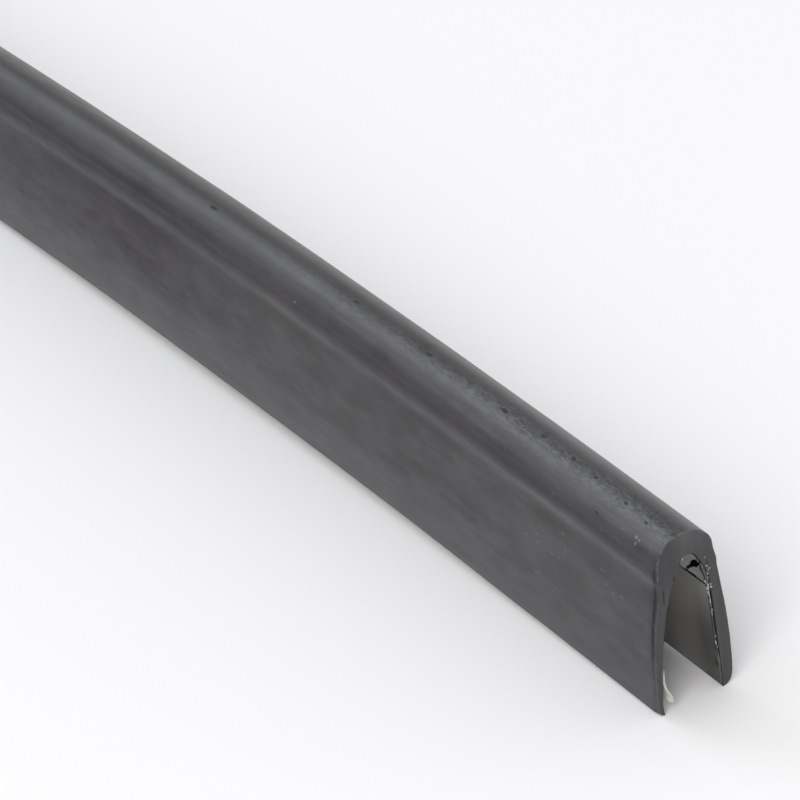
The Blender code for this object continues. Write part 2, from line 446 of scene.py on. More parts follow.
def wall_fields(distance, around_outer, around_inner, depth, steps):
    """Two attributes of a wall body.

    strip holds millimetres from the front cut, millimetres round the section, and 1 on the cut ends.
    wall holds the share of the way through the wall, millimetres from the nearer cut, and
    millimetres from the inner curve, for which depth gives the wall's thickness.
    """
    shape = (len(distance), len(around_outer))
    along = np.broadcast_to(distance, shape) / MM
    on_cut = np.zeros(shape)
    on_cut[[0, -1]] = 1
    near_cut = from_cut(np.broadcast_to(distance, shape)) / MM
    zero, one = np.zeros(shape), np.ones(shape)
    thick = np.broadcast_to(depth, shape) / MM
    strip = [np.stack([along, np.broadcast_to(around, shape), on_cut], axis=-1)
             for around in (around_outer, around_inner)]
    wall = [np.stack([share, near_cut, left], axis=-1) for share, left in ((zero, thick), (one, zero))]
    return {"strip": fill(*strip, steps), "wall": fill(*wall, steps)}


def add_object(name, data):
    """An object with the given data, linked to the scene."""
    made = bpy.data.objects.new(name, data)
    bpy.context.scene.collection.objects.link(made)
    return made


def wall_piece(name, outer, inner, distance, rounds, depth, steps, seed, material, kind=None):
    """A wall body, made from the grids of its two faces and carried into the frame.

    Both cuts get the knife marks of the given seed. The body is shaded smooth and takes along the
    fields that its finish reads.
    """
    quads = wall_faces(*outer.shape[:2], steps)
    fields = wall_fields(distance, *rounds, depth, steps)
    if kind is not None:
        fields["kind"] = fill(kind, kind, steps)
    mesh = bpy.data.meshes.new(name)
    mesh.from_pydata(carry(settle_cut(fill(outer, inner, steps), seed)), [], quads.tolist())
    mesh.polygons.foreach_set("use_smooth", np.ones(len(quads), bool))
    for field, values in fields.items():
        layer = mesh.attributes.new(field, "FLOAT_VECTOR", "POINT")
        layer.data.foreach_set("vector", np.ascontiguousarray(values, dtype=np.float32).ravel())
    mesh.set_sharp_from_angle(angle=math.radians(50))
    mesh.materials.append(material)
    mesh.validate()
    mesh.update()
    print(name, "triangles:", 2 * len(quads))
    return add_object(name, mesh)


# %% [markdown]
# ## Shared effects for the finishes
#
# Some effects turn up in more than one finish, so each is a node group with named sockets: streaks
# that follow the strip, scattered specks, a fine grain, and a single ragged mark at a given place.
# Each is set with its own values in the material that uses it. They read the strip's own
# coordinates, which every piece carries as an attribute: millimetres from the front cut, millimetres
# round the section, and whether a point lies on a cut end.
#
# The helpers add their nodes to the tree that their sockets belong to. So a finish can be written
# like a sum, with add, less, times and most between sockets and numbers.

# %% Helpers for node trees
def node(tree, kind, settings=None, **links):
    """Adds a shader node, sets its properties, and fills its inputs with values or other sockets."""
    made = tree.nodes.new("ShaderNode" + kind)
    for key, value in (settings or {}).items():
        setattr(made, key, value)
    for key, value in links.items():
        socket = made.inputs[int(key[1:])] if key[0] == "_" else made.inputs[key]
        if isinstance(value, bpy.types.NodeSocket):
            tree.links.new(value, socket)
        else:
            socket.default_value = value
    return made


def calc(operation, *values, clamp=False):
    """Arithmetic between sockets and numbers: the operation joins the values one after another."""
    total = values[0]
    for value in values[1:]:
        owner = total if isinstance(total, bpy.types.NodeSocket) else value
        settings = {"operation": operation, "use_clamp": clamp}
        total = node(owner.id_data, "Math", settings, _0=total, _1=value).outputs[0]
    return total


add, less, times, most = (partial(calc, name) for name in ("ADD", "SUBTRACT", "MULTIPLY", "MAXIMUM"))
product = partial(calc, "MULTIPLY", clamp=True)


def vector_calc(operation, first, second=(0, 0, 0), scale=1):
    """One step of vector arithmetic. LENGTH gives a number, the others give a vector."""
    made = node(first.id_data, "VectorMath", {"operation": operation}, _0=first, _1=second, _3=scale)
    return made.outputs[1 if operation == "LENGTH" else 0]


def ramp(factor, stops):
    """A colour ramp of greys, its stops given as (place, value)."""
    made = node(factor.id_data, "ValToRGB", _0=factor)
    elements = made.color_ramp.elements
    while len(elements) < len(stops):
        elements.new(0.5)
    for element, (place, value) in zip(elements, stops):
        element.position = place
        element.color = (value, value, value, 1)
    return made.outputs["Color"]


def window(value, full, *stops):
    """A ramp over value from 0 to full, its stops given in the units of value."""
    return ramp(calc("DIVIDE", value, full), [(place / full, height) for place, height in stops])


def blend_colour(factor, first, second):
    """Mixes two colours by a factor."""
    made = node(factor.id_data, "Mix", {"data_type": "RGBA"}, _0=factor)
    for place, value in ((6, first), (7, second)):
        if isinstance(value, bpy.types.NodeSocket):
            factor.id_data.links.new(value, made.inputs[place])
        else:
            made.inputs[place].default_value = (*value, 1)
    return made.outputs[2]


def new_group(name, output, **inputs):
    """An empty shader group. A triple makes a vector socket, a number makes a float one.

    Returns the group, the sockets that bring its inputs in, and those that take its output.
    """
    group = bpy.data.node_groups.new(name, "ShaderNodeTree")
    for label, value in inputs.items():
        kind = "NodeSocketVector" if isinstance(value, tuple) else "NodeSocketFloat"
        group.interface.new_socket(label, in_out="INPUT", socket_type=kind).default_value = value
    group.interface.new_socket(output, in_out="OUTPUT", socket_type="NodeSocketFloat")
    return group, group.nodes.new("NodeGroupInput").outputs, group.nodes.new("NodeGroupOutput").inputs


# %% Streaks, specks and grain
ORIGIN = (0, 0, 0)
SPECK_WARP, SPECK_EDGE, MARK_EDGE = 0.35, 9, 5

streaks, given, result = new_group("Strip streaks", "Value", Strip=ORIGIN, Along=0.05, Around=1,
                                   Detail=3)
stretch = node(streaks, "CombineXYZ", X=given["Along"], Y=given["Around"]).outputs[0]
field = node(streaks, "TexNoise", Vector=vector_calc("MULTIPLY", given["Strip"], stretch),
             Scale=1, Detail=given["Detail"], Roughness=0.55)
streaks.links.new(field.outputs[0], result["Value"])

specks, given, result = new_group("Specks", "Mask", Strip=ORIGIN, Scale=2, Size=0.2, Share=0.3)
warp = node(specks, "TexNoise", Vector=given["Strip"], Scale=5, Detail=2).outputs["Color"]
moved = vector_calc("ADD", given["Strip"], vector_calc("SCALE", warp, scale=SPECK_WARP))
cells = node(specks, "TexVoronoi", Vector=moved, Scale=given["Scale"]).outputs
chosen = node(specks, "SeparateColor", Color=cells["Color"]).outputs
picked = calc("LESS_THAN", chosen[0], given["Share"])
inside = less(times(chosen[1], given["Size"]), cells["Distance"])
specks.links.new(times(times(inside, SPECK_EDGE, clamp=True), picked), result["Mask"])

grain, given, result = new_group("Rubber grain", "Height", Strip=ORIGIN, Scale=4)
fine = node(grain, "TexNoise", Vector=given["Strip"], Scale=given["Scale"], Detail=5, Roughness=0.6)
grain.links.new(fine.outputs[0], result["Height"])

# %% A single mark
mark, given, result = new_group("Single mark", "Mask", Position=ORIGIN, Place=ORIGIN, Reach=(1, 1, 1),
                                Ragged=0.6, Scale=4)
offset = vector_calc("SUBTRACT", given["Position"], given["Place"])
radius = vector_calc("LENGTH", vector_calc("DIVIDE", offset, given["Reach"]))
rough = node(mark, "TexNoise", Vector=given["Position"], Scale=given["Scale"], Detail=3).outputs[0]
left = less(1, add(radius, times(less(rough, 0.5), given["Ragged"])))
mark.links.new(times(left, MARK_EDGE, clamp=True), result["Mask"])
print("groups:", [group.name for group in bpy.data.node_groups])


def effect(group, position, **values):
    """Places one of the shared groups in a material. Its first socket reads the position."""
    return node(position.id_data, "Group", {"node_tree": group}, _0=position, **values).outputs[0]


def streak(position, along, around, detail):
    """Noise drawn out along the strip: the smaller a number, the longer the noise that way."""
    return effect(streaks, position, Along=along, Around=around, Detail=detail)


def marks(position, rows):
    """The strongest of several single marks, each given as (place, reach, ragged, scale)."""
    return most(0, *[effect(mark, position, Place=place, Reach=reach, Ragged=ragged, Scale=scale)
                     for place, reach, ragged, scale in rows])


def skin_marks(position, rows):
    """Marks on the skin, each (along, around, reach along, reach around, ragged, scale)."""
    return marks(position, [((along, around, 0), (long, broad, 0.5), *look)
                            for along, around, long, broad, *look in rows])


def end_marks(position, distance, depth, rows):
    """Marks on the front cut, each (across, height, reach across, reach up, ragged, scale)."""
    return marks(position, [((distance, across, height), (depth, broad, tall), *look)
                            for across, height, broad, tall, *look in rows])


# %% [markdown]
# ## The rubber's finish
#
# Carbon-filled rubber is nearly black. Part of what makes it grey is a faint bloom of wax and dust, lying
# in long streaks and clouds on the crown of the head and on the legs. The rest is painted light: the same
# bands brighten the light band along the head, the light ridge under it and the legs towards the foot, and
# they fade along the strip as the light does. The neck and the leg further back are painted darker as
# shade, with a faint violet cast. There a dark metallic share takes the pale reflection away, which is
# painted shade, and it does the same in the painted shade of the crease behind the cut.
#
# The front few centimetres of the head were handled, so they carry pits, grime and pale scuffs. The near
# leg has small pale flecks, and a bit of lint sits near the cut. A few marks are big enough to be placed
# one by one. The cut face shows the rubber's own colour, matt, with fine marks from the blade. It is
# painted lighter towards the top of the head, which is painted light, and darker with a violet cast on its
# near side, which is painted shade. Its outer corner has a pale line that is partly wear and partly a
# painted highlight. Behind the corner, where the skin is drawn in, the crease is painted dark as shade.
#
# Every place is in millimetres: along the strip from the front cut, and round the section from the
# near tip, where the neck is at about 17 and the top of the head at about 22. A mark could also be
# painted on a picture, but a list of places and reaches can be read and changed.

# %% Colours, marks and coordinates of the rubber
BLACK = (0.0165, 0.0165, 0.0170)
VIOLET = (0.0150, 0.0095, 0.0140)
BLOOM_AND_LIGHT = (0.082, 0.082, 0.088)
CUT_DARK, CUT_LIGHT = (0.036, 0.036, 0.038), (0.066, 0.066, 0.067)
CUT_PAINTED_LIGHT, CUT_VIOLET_SHADE = (0.105, 0.105, 0.108), (0.034, 0.034, 0.042)
GRIME_AND_SHADE = (0.011, 0.015, 0.017)
SCUFF_AND_HIGHLIGHT = (0.22, 0.225, 0.24)
PITS = [
    (28.6, 21.4, 0.6, 0.22, 0.9, 3), (16.9, 21.6, 0.35, 0.2, 0.9, 5), (12.9, 21.4, 0.32, 0.2, 0.9, 5),
    (84.5, 21.2, 0.8, 0.2, 0.9, 3), (10.1, 18.6, 0.2, 0.16, 0.6, 6), (42.5, 21.6, 0.7, 0.2, 0.9, 3),
    (22.2, 21.6, 0.35, 0.16, 0.9, 4), (7.6, 21.1, 0.3, 0.16, 0.9, 5), (3.9, 20.7, 0.3, 0.14, 0.9, 5),
    (56.3, 21.7, 0.5, 0.16, 0.9, 3)]
LINT = [(64.9, 17.6, 0.22, 0.13, 0.8, 5), (3.9, 19, 0.16, 0.2, 1, 6),
        (3.7, 18.4, 0.12, 0.2, 1, 6), (3.4, 18.9, 0.1, 0.12, 0.8, 6)]
FLECK_LOOK = (0.28, 0.12, 1.1, 4)
FLECKS = [(17.2, 17.2), (17.5, 10.1), (16.3, 10.3), (15.1, 11.6), (8.3, 11.4), (7.1, 11), (5.7, 11.3),
          (19.9, 6.7), (23.2, 10.9), (22, 10.2), (20, 11.2), (19.9, 10.3), (15.8, 13.3), (9.2, 17.1),
          (9.1, 12.6), (5.9, 18.9)]
FACE_MARKS = [
    (-2.52, 13.5, 0.13, 1.1, 0.5, 3), (-1.21, 14.94, 0.12, 0.55, 0.5, 3),
    (2.75, 15.2, 0.12, 0.4, 0.8, 3), (3.05, 7.5, 0.1, 1.9, 0.6, 2), (3.2, 4.4, 0.1, 0.8, 0.6, 2)]
FACE_X, FACE_MARK_DEPTH = 500.2, 2
ROUND_SPAN, ALONG_SPAN, HANDLED_SPAN, GROOVE_SPAN = 40, 400, 90, 4
HEIGHT_SPAN, ACROSS_SPAN = 20, 10
SWAY = 1.1
GROOVE_SHADE_SHARE, NECK_SHADE_SHARE, LEG_SHADE_SHARE = 0.85, 0.84, 0.54
BUMP_STRENGTH, BUMP_DISTANCE = 0.5, 0.06 * MM


def new_material(name):
    """A material with its Principled shader and its tree."""
    material = bpy.data.materials.new(name)
    material.use_nodes = True
    tree = material.node_tree
    return material, tree, tree.nodes["Principled BSDF"]


def read_field(tree, name):
    """An attribute of the piece: the whole vector, and its three parts."""
    value = node(tree, "Attribute", {"attribute_name": name}).outputs["Vector"]
    return value, *node(tree, "SeparateXYZ", Vector=value).outputs


def object_millimetres(tree):
    """Object coordinates in millimetres, counted across from the middle of the head."""
    centred = vector_calc("SUBTRACT", node(tree, "TexCoord").outputs["Object"], (0, SIDE_SHIFT, 0))
    return vector_calc("SCALE", centred, scale=1 / MM)


rubber, tree, shader = new_material("black_rubber")
strip, along, around, cut = read_field(tree, "strip")
through, near_cut = read_field(tree, "wall")[1:3]
here = object_millimetres(tree)
_, here_across, here_height = node(tree, "SeparateXYZ", Vector=here).outputs

# %% The bloom on the skin, with painted light
long_streak = streak(strip, 0.035, 0.9, 4)
short_streak = streak(strip, 0.35, 1.6, 5)
fine_streak = streak(strip, 0.12, 3.4, 3)
patchy = streak(strip, 0.17, 0.4, 3)
swayed = add(around, times(less(streak(strip, 0.13, 0.3, 3), 0.5), SWAY))
by_round, by_length = partial(window, swayed, ROUND_SPAN), partial(window, along, ALONG_SPAN)
# The bloom is partly dust and partly painted light. Its bands brighten the light band along the head, the
# light ridge under the head and the leg towards the foot, and they fade along the strip as the light does.
leg_bloom_and_light = by_round((6, 0.14), (9.5, 0.3), (12, 0.28), (13.9, 0.12), (14.4, 0.2), (14.9, 0.42),
                     (15.5, 0.44), (16, 0.18), (16.5, 0.06), (18, 0.04), (26, 0.3))
leg_reach = by_length((0, 0.95), (23, 1), (47, 0.5), (72, 0.5), (97, 0.1), (200, 0.5))
foot_bloom_and_light = window(around, ROUND_SPAN, (0, 0.75), (2, 0.55), (4, 0.32), (6, 0.14), (8.5, 0))
foot_reach = by_length((0, 0.5), (25, 0.75), (60, 0.9), (100, 0.95))
head_bloom_and_highlight = by_round((17.2, 0), (18.2, 0.35), (19.1, 0.8), (20.1, 0.95), (21, 0.65), (21.9, 0.2),
                      (22.8, 0.2), (24.1, 0.5), (31, 0))
head_reach = by_length((0, 1), (40, 0.85), (100, 0.5), (200, 0.5))
patch_area = window(around, ROUND_SPAN, (2, 0), (5, 1), (14, 1), (16.5, 0.4), (18, 0))
patches = product(ramp(patchy, [(0.40, 0), (0.60, 1)]), patch_area, 0.16)
cloud = add(times(long_streak, 1.2), times(short_streak, 0.5), times(fine_streak, 0.5),
            times(less(patchy, 0.6), 0.9))
bloom_and_light = add(product(leg_bloom_and_light, leg_reach), product(foot_bloom_and_light, foot_reach),
            product(head_bloom_and_highlight, head_reach), patches)
# Painted shade: the neck and the leg further back are left dark, with a violet cast, and a dark metallic
# share paints away their pale reflection.
neck = by_round((15.8, 0), (16.7, 0.8), (17.8, 1), (19.1, 0))
neck_reach = by_length((0, 0.27), (25, 0.38), (50, 0.5), (72, 0.55), (97, 1), (150, 0.6))
leg = by_round((5, 0), (8, 0.7), (12.8, 0.8), (14, 1), (14.9, 0.9), (15.6, 0.3), (16.2, 0))
leg_shade = product(leg, by_length((72, 0), (97, 1), (140, 0.5)))
neck_shade = product(neck, neck_reach)
base = blend_colour(most(neck, leg_shade), BLACK, VIOLET)
skin = blend_colour(product(bloom_and_light, cloud), base, BLOOM_AND_LIGHT)

# %% Grime, scuffs, pits and dust
handled = window(along, HANDLED_SPAN, (0, 1), (22, 0.9), (45, 0.5), (80, 0.1))
crown_band = by_round((19.2, 0), (20.1, 0.5), (20.7, 1), (21.7, 1), (22.4, 0))
upper_band = by_round((20.5, 0), (21.2, 1), (22.3, 0.9), (22.9, 0))
worn = product(handled, crown_band)
blotches = streak(strip, 1.1, 2, 4)
grime = product(ramp(blotches, [(0.48, 0), (0.60, 1)]), handled, upper_band, 0.5)
skin = blend_colour(grime, skin, GRIME_AND_SHADE)
scratches = streak(strip, 0.9, 2.4, 4)
hairs = streak(strip, 2.2, 4.8, 2)
scuffs = most(product(ramp(scratches, [(0.47, 0), (0.62, 1)]), worn, 0.24),
              product(ramp(hairs, [(0.57, 0), (0.64, 1)]), worn, 0.3))
skin = blend_colour(scuffs, skin, SCUFF_AND_HIGHLIGHT)
small_pits = product(effect(specks, strip, Scale=1.9, Size=0.5, Share=0.5), handled, upper_band)
pits = most(skin_marks(strip, PITS), product(small_pits, 0.45))
skin = blend_colour(product(pits, 0.75), skin, GRIME_AND_SHADE)
dust = effect(specks, strip, Scale=0.7, Size=0.2, Share=0.2)
flecks = skin_marks(strip, [(*place, *FLECK_LOOK) for place in FLECKS])
pale = most(product(dust, 0.1), product(skin_marks(strip, LINT), 0.6), product(flecks, 0.2))
skin = blend_colour(pale, skin, SCUFF_AND_HIGHLIGHT)

# %% The drawn-in line behind the cut, painted as shade
# Painted shade: the crease where the skin is drawn in behind the cut is coloured dark and made dull,
# broken up by the grain.
near_leg = window(around, ROUND_SPAN, (1, 0.2), (6, 0.3), (7.5, 0.8), (16.8, 1), (17.8, 0.35),
                  (19.4, 0))
groove_shade = window(near_cut, GROOVE_SPAN, (0, 0.3), (0.08, 0.5), (0.15, 1), (0.55, 0.95), (0.8, 0.35),
                (1.5, 0))
broken = ramp(effect(grain, strip, Scale=0.8), [(0.36, 0.5), (0.52, 1)])
groove_shade = product(groove_shade, near_leg, broken)
skin = blend_colour(groove_shade, skin, GRIME_AND_SHADE)

# %% The cut face
face = blend_colour(streak(here, 0.5, 2.2, 5), CUT_DARK, CUT_LIGHT)
spotty = ramp(effect(grain, here, Scale=1.8), [(0.45, 0), (0.6, 1)])
# A pale line along the outer corner of the cut face. It is partly wear and partly a painted highlight.
corner = product(ramp(through, [(0, 1), (0.1, 0)]), spotty, 0.4)
from_near_side = add(here_across, ACROSS_SPAN / 2)
# Painted light: the cut face is lighter towards the top of the head. Painted shade: its near side is
# darker, with a violet cast.
lit_top = product(window(here_height, HEIGHT_SPAN, (16.6, 0), (19.6, 1)),
                   window(from_near_side, ACROSS_SPAN, (3.6, 0), (5.4, 1), (8, 0.6)))
face = blend_colour(times(lit_top, 0.5), face, CUT_PAINTED_LIGHT)
shaded_violet_side = product(window(here_height, HEIGHT_SPAN, (13, 0), (16, 1), (18.8, 1), (19.6, 0)),
                      window(from_near_side, ACROSS_SPAN, (2, 1), (4.2, 0.8), (5, 0)))
face = blend_colour(times(shaded_violet_side, 0.5), face, CUT_VIOLET_SHADE)
face = blend_colour(corner, face, SCUFF_AND_HIGHLIGHT)
face_marks = end_marks(here, FACE_X, FACE_MARK_DEPTH, FACE_MARKS)
face = blend_colour(product(face_marks, 0.85), face, GRIME_AND_SHADE)
on_cut = ramp(cut, [(0.45, 0), (0.55, 1)])
on_skin = less(1, on_cut)
skin = blend_colour(on_cut, skin, face)
tree.links.new(skin, shader.inputs["Base Color"])
# A dark metallic share on the skin paints away the reflection. This is painted shade in the neck, on the
# leg further back and in the crease behind the cut.
reflection_shade = most(times(groove_shade, on_skin, GROOVE_SHADE_SHARE), times(neck_shade, NECK_SHADE_SHARE), times(leg_shade, LEG_SHADE_SHARE))
tree.links.new(times(reflection_shade, on_skin), shader.inputs["Metallic"])

# %% Gloss and grain of the rubber
gloss = add(add(0.28, times(short_streak, 0.24), times(pits, 0.3)), times(cut, 0.25), clamp=True)
tree.links.new(gloss, shader.inputs["Roughness"])
shader.inputs["Specular IOR Level"].default_value = 0.36
height = less(times(effect(grain, strip, Scale=2.6), 0.35), pits)
height = add(height, times(product(blotches, worn), 0.4))


def bumped(tree, shader, strength, distance, height):
    """Feeds a Bump node, and through it the shader's normal, from a height."""
    bump = node(tree, "Bump", Strength=strength, Distance=distance, Height=height)
    tree.links.new(bump.outputs[0], shader.inputs["Normal"])


bumped(tree, shader, BUMP_STRENGTH, BUMP_DISTANCE, height)
print("rubber nodes:", len(tree.nodes))

# %% [markdown]
# ## The rubber strip
#
# Now the rings: the outer face with its relief, and the wall of the slot with a little of its own.
# The bottom edge of each leg is trimmed slightly unevenly, and the blade left a small burr that
# curls into the slot at the near tip.

# %% Make the rubber strip
NEAR_BURR, BURR_LENGTH = 0.26 * MM, 1.1 * MM
TRIM_DEPTH, TRIM_HEIGHT = 0.05 * MM, 1.2 * MM
WALL_STEPS = 8
distance = rubber_stations[:, None]


def strip_grid(face, normals, relief, distance):
    """A face carried to all stations: each point moved along its normal by its relief."""
    moved = face[None] + normals[None] * relief[..., None]
    return np.concatenate([moved, np.broadcast_to(distance[..., None], moved.shape[:2] + (1,))], axis=-1)


side = np.sign(outer_face[:, 0])
relief = outer_relief(np.broadcast_to(across_length, (len(distance), len(side))),
                      outer_face[None, :, 1], side[None], distance)
outer = strip_grid(outer_face, outward(outer_face, 1), relief, distance)
slot_relief = noise(np.arange(len(slot_face))[None] / 9, distance / (12 * MM), 5) * 0.02 * MM
slot_relief = slot_relief - corner_inset(distance, CORNER_ROUNDING)
inner = strip_grid(slot_face, outward(slot_face, -1), slot_relief, distance)
for grid in (outer, inner):
    low_share = np.clip(1 - grid[..., 1] / TRIM_HEIGHT, 0, 1)
    trim = TRIM_DEPTH * (1 + noise(grid[..., 2] / (4 * MM), np.sign(grid[..., 0]) * 3, 6)) / 2
    grid[..., 1] = np.clip(grid[..., 1], 0, HEIGHT) + low_share * trim
    near_front = np.clip(1 - grid[..., 2] / BURR_LENGTH, 0, 1) * (grid[..., 0] < 0)
    grid[..., 0] += NEAR_BURR * low_share * near_front

rounds = across_length / MM, 60 + np.linspace(0, 30, len(slot_face))
wall_depth = np.linalg.norm(outer_face - slot_face, axis=1)
strip_rubber = wall_piece("rubber_skin", outer, inner, distance, rounds, wall_depth,
                          WALL_STEPS, 21, rubber)
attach(strip_rubber, "root")
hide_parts("rubber_channel")

# %% [markdown]
# ## The adhesive's finish
#
# The adhesive is a soft, cloudy, slightly yellow film. Stuck to black rubber it looks a warm grey. It is
# thicker near the crown, and its colour is painted lighter higher up, which is painted light, and darker
# just behind the front cut, which is painted shade. Its own pale colour shows only where it stands free,
# at the loose flap, and as white crumbs along its torn front edge. The bead's cut face is light grey and
# full of tiny bubbles. A hollow in it and a seam along its lower edge are both painted black as shade.

# %% Colours and coordinates of the adhesive
STUCK_LOW, STUCK_HIGH_LIT = (0.25, 0.24, 0.228), (0.56, 0.558, 0.53)
FRONT_SHADE = (0.044, 0.042, 0.040)
PALE_DARK, PALE = (0.56, 0.575, 0.49), (0.88, 0.89, 0.81)
PALE_RIM_SHADE = (0.15, 0.155, 0.12)
WHITISH = (0.42, 0.42, 0.41)
BEAD_DARK, BEAD_LIGHT = (0.058, 0.058, 0.054), (0.108, 0.108, 0.099)
BEHIND_SHADE = (0.024, 0.024, 0.024)
EDGE_GREY, LOW_EDGE = (0.052, 0.051, 0.050), (0.10, 0.098, 0.092)
SHADE_AND_STAIN_BLACK = (0.002, 0.002, 0.002)
BEAD_X, BEAD_MARK_DEPTH = 500, 9
SHADE_SPAN, SEAM_SPAN = 12, 2

adhesive, tree, shader = new_material("pale_adhesive")
strip, _, _, cut = read_field(tree, "strip")
through, near_cut, depth = read_field(tree, "wall")[1:]
free, in_bead, behind = read_field(tree, "kind")[1:]
here = object_millimetres(tree)
by_level = partial(window, node(tree, "SeparateXYZ", Vector=here).outputs[2], HEIGHT_SPAN)

# %% The film's faces
smear = streak(strip, 0.08, 0.5, 4)
# Painted light: both stuck colours are light for the slot's shade, and the colour grows lighter higher up.
# The shade window below darkens it near the front cut as painted shade.
tall = by_level((0.5, 0), (6, 0.25), (12, 0.85), (16, 1))
tall = add(tall, times(less(smear, 0.5), 0.5), clamp=True)
colour = blend_colour(tall, STUCK_LOW, STUCK_HIGH_LIT)
shade = window(near_cut, SHADE_SPAN, (0, 1), (2.2, 0.95), (3.6, 0.66), (6.5, 0.12), (8, 0))
shade = product(shade, by_level((4, 1), (8, 0.86), (15, 0.55)))
colour = blend_colour(shade, colour, FRONT_SHADE)
stains = marks(here, [((499.2, 2.9, 2.7), (0.5, 2, 0.3), 0.9, 3),
                      ((499, 2.9, 3.3), (0.3, 2, 0.2), 0.9, 3)])
colour = blend_colour(product(stains, 0.8), colour, SHADE_AND_STAIN_BLACK)
bubbles = effect(grain, here, Scale=4.5)
pale_film = blend_colour(ramp(bubbles, [(0.35, 0), (0.6, 1)]), PALE_DARK, PALE)
# Painted shade: the loose flap's front edge is darker.
pale_film = blend_colour(window(near_cut, GROOVE_SPAN, (0.05, 0.45), (0.2, 0)), pale_film, PALE_RIM_SHADE)

# %% The film's cut edge and the bead's cut face
# Painted shade: outside the middle of the film's thickness its cut edge is coloured black, as dark lines
# along both sides. Low down the edge has no such lines.
wavering = add(through, times(less(effect(grain, here, Scale=2.2), 0.5), 0.7))
middle = window(wavering, 1, (0.12, 0), (0.24, 1), (0.50, 1), (0.62, 0))
patches = product(ramp(effect(grain, here, Scale=1.2), [(0.38, 0), (0.50, 1)]),
                  by_level((8.4, 0), (9.2, 1), (14.2, 1), (14.8, 0.3)))
patches = most(patches, end_marks(here, BEAD_X, BEAD_MARK_DEPTH, [(2.97, 5.5, 0.25, 0.22, 0.5, 3)]))
low_down = by_level((3.4, 1), (4.6, 0))
edge_face = blend_colour(low_down, EDGE_GREY, LOW_EDGE)
edge_face = blend_colour(patches, edge_face, WHITISH)
edge_face = blend_colour(most(middle, low_down), SHADE_AND_STAIN_BLACK, edge_face)
# Painted shade: the cut edge of the film behind the bead is coloured dark, in the crevice the bead left.
edge_face = blend_colour(behind, edge_face, BEHIND_SHADE)
bead_face = blend_colour(ramp(bubbles, [(0.35, 0), (0.65, 1)]), BEAD_DARK, BEAD_LIGHT)
glint = end_marks(here, BEAD_X, BEAD_MARK_DEPTH, [(0.02, 16.85, 0.07, 0.24, 0.5, 4)])
bead_face = blend_colour(product(glint, 0.6), bead_face, WHITISH)
on_cut = ramp(cut, [(0.45, 0), (0.55, 1)])
colour = blend_colour(on_cut, colour, blend_colour(in_bead, edge_face, bead_face))
colour = blend_colour(free, colour, pale_film)

# %% The hollow and the seam, painted as shade
# Painted shade: the seam under the bead's lower edge and the hollow in its cut face are coloured black. A
# rough black metallic share paints away their reflection.
seam_shade = product(window(depth, SEAM_SPAN, (0.17, 1), (0.23, 0)), in_bead)
hollow_shade = end_marks(here, BEAD_X, BEAD_MARK_DEPTH, [
    (1.22, 15.78, 0.50, 0.44, 1.5, 4.5), (0.72, 15.62, 0.34, 0.28, 1.5, 4.5),
    (1.60, 15.42, 0.38, 0.32, 1.5, 4.5), (0.46, 15.34, 0.09, 0.24, 0.3, 3)])
void_shade = product(most(seam_shade, hollow_shade), on_cut)
tree.links.new(blend_colour(void_shade, colour, SHADE_AND_STAIN_BLACK), shader.inputs["Base Color"])
tree.links.new(void_shade, shader.inputs["Metallic"])
tree.links.new(add(0.5, times(void_shade, 0.5)), shader.inputs["Roughness"])
bumped(tree, shader, BUMP_STRENGTH, BUMP_DISTANCE, effect(grain, strip, Scale=1.5))
print("adhesive nodes:", len(tree.nodes))

# %% [markdown]
# ## The adhesive lining
#
# The film follows the wall of the slot on both sides, a hair's breadth off it. In the crown its open
# face runs straight across, from the near corner of the crown down to the far wall, and that makes
# the bead. The bead has shrunk away from the far wall a little, and has a hollow in its cut face.
# Down the near leg the film has come loose at the front and curls into the slot. The film's front
# edge is torn, so each point of it ends at its own distance.

# %% Curves of the lining
NEAR_GAP, FAR_GAP = 0.07 * MM, 0.08 * MM
NEAR_FILM, FAR_FILM = 0.24 * MM, 0.28 * MM
PRESSED_HEIGHT, PRESSED_IN, PRESSED_THIN = 4.6 * MM, 0.06 * MM, 0.08 * MM
BEAD_LIP = 0.20 * MM
NEAR_FOOT, FAR_FOOT = 1.2 * MM, 0.35 * MM
BEAD_FAR_HEIGHT = 12.75 * MM
BEAD_SHRINK = 0.42 * MM
LOOSE_HEIGHT, LOOSE_LENGTH = 4.4 * MM, 4.2 * MM
CURL_IN, CURL_DOWN = 1.02 * MM, 0.18 * MM
TEAR_LENGTH, REAR_TEAR = 0.8 * MM, 0.1 * MM
FILM_STEPS = (44, 44, 40)

wall_normals = outward(inner_path, -1)
top = int(np.argmax(inner_path[:, 1]))
crown_corner = point_at(inner_path, CROWN_CENTRE[1], NEAR)
bead_end = point_at(inner_path, BEAD_FAR_HEIGHT, FAR)
near_end, far_end = point_at(inner_path, NEAR_FOOT, NEAR), point_at(inner_path, FAR_FOOT, FAR)
far_share = smooth((np.arange(len(inner_path)) - crown_corner) / (top - crown_corner))
pressed = far_share * smooth((PRESSED_HEIGHT - inner_path[:, 1]) / (1.6 * MM))
film_gap = NEAR_GAP + (FAR_GAP - NEAR_GAP) * far_share - PRESSED_IN * pressed
film_depth = NEAR_FILM + (FAR_FILM - NEAR_FILM) * far_share
film_depth = film_depth - PRESSED_THIN * pressed
film_depth = film_depth + BEAD_LIP * far_share * smooth((inner_path[:, 1] - 12 * MM) / (0.7 * MM))

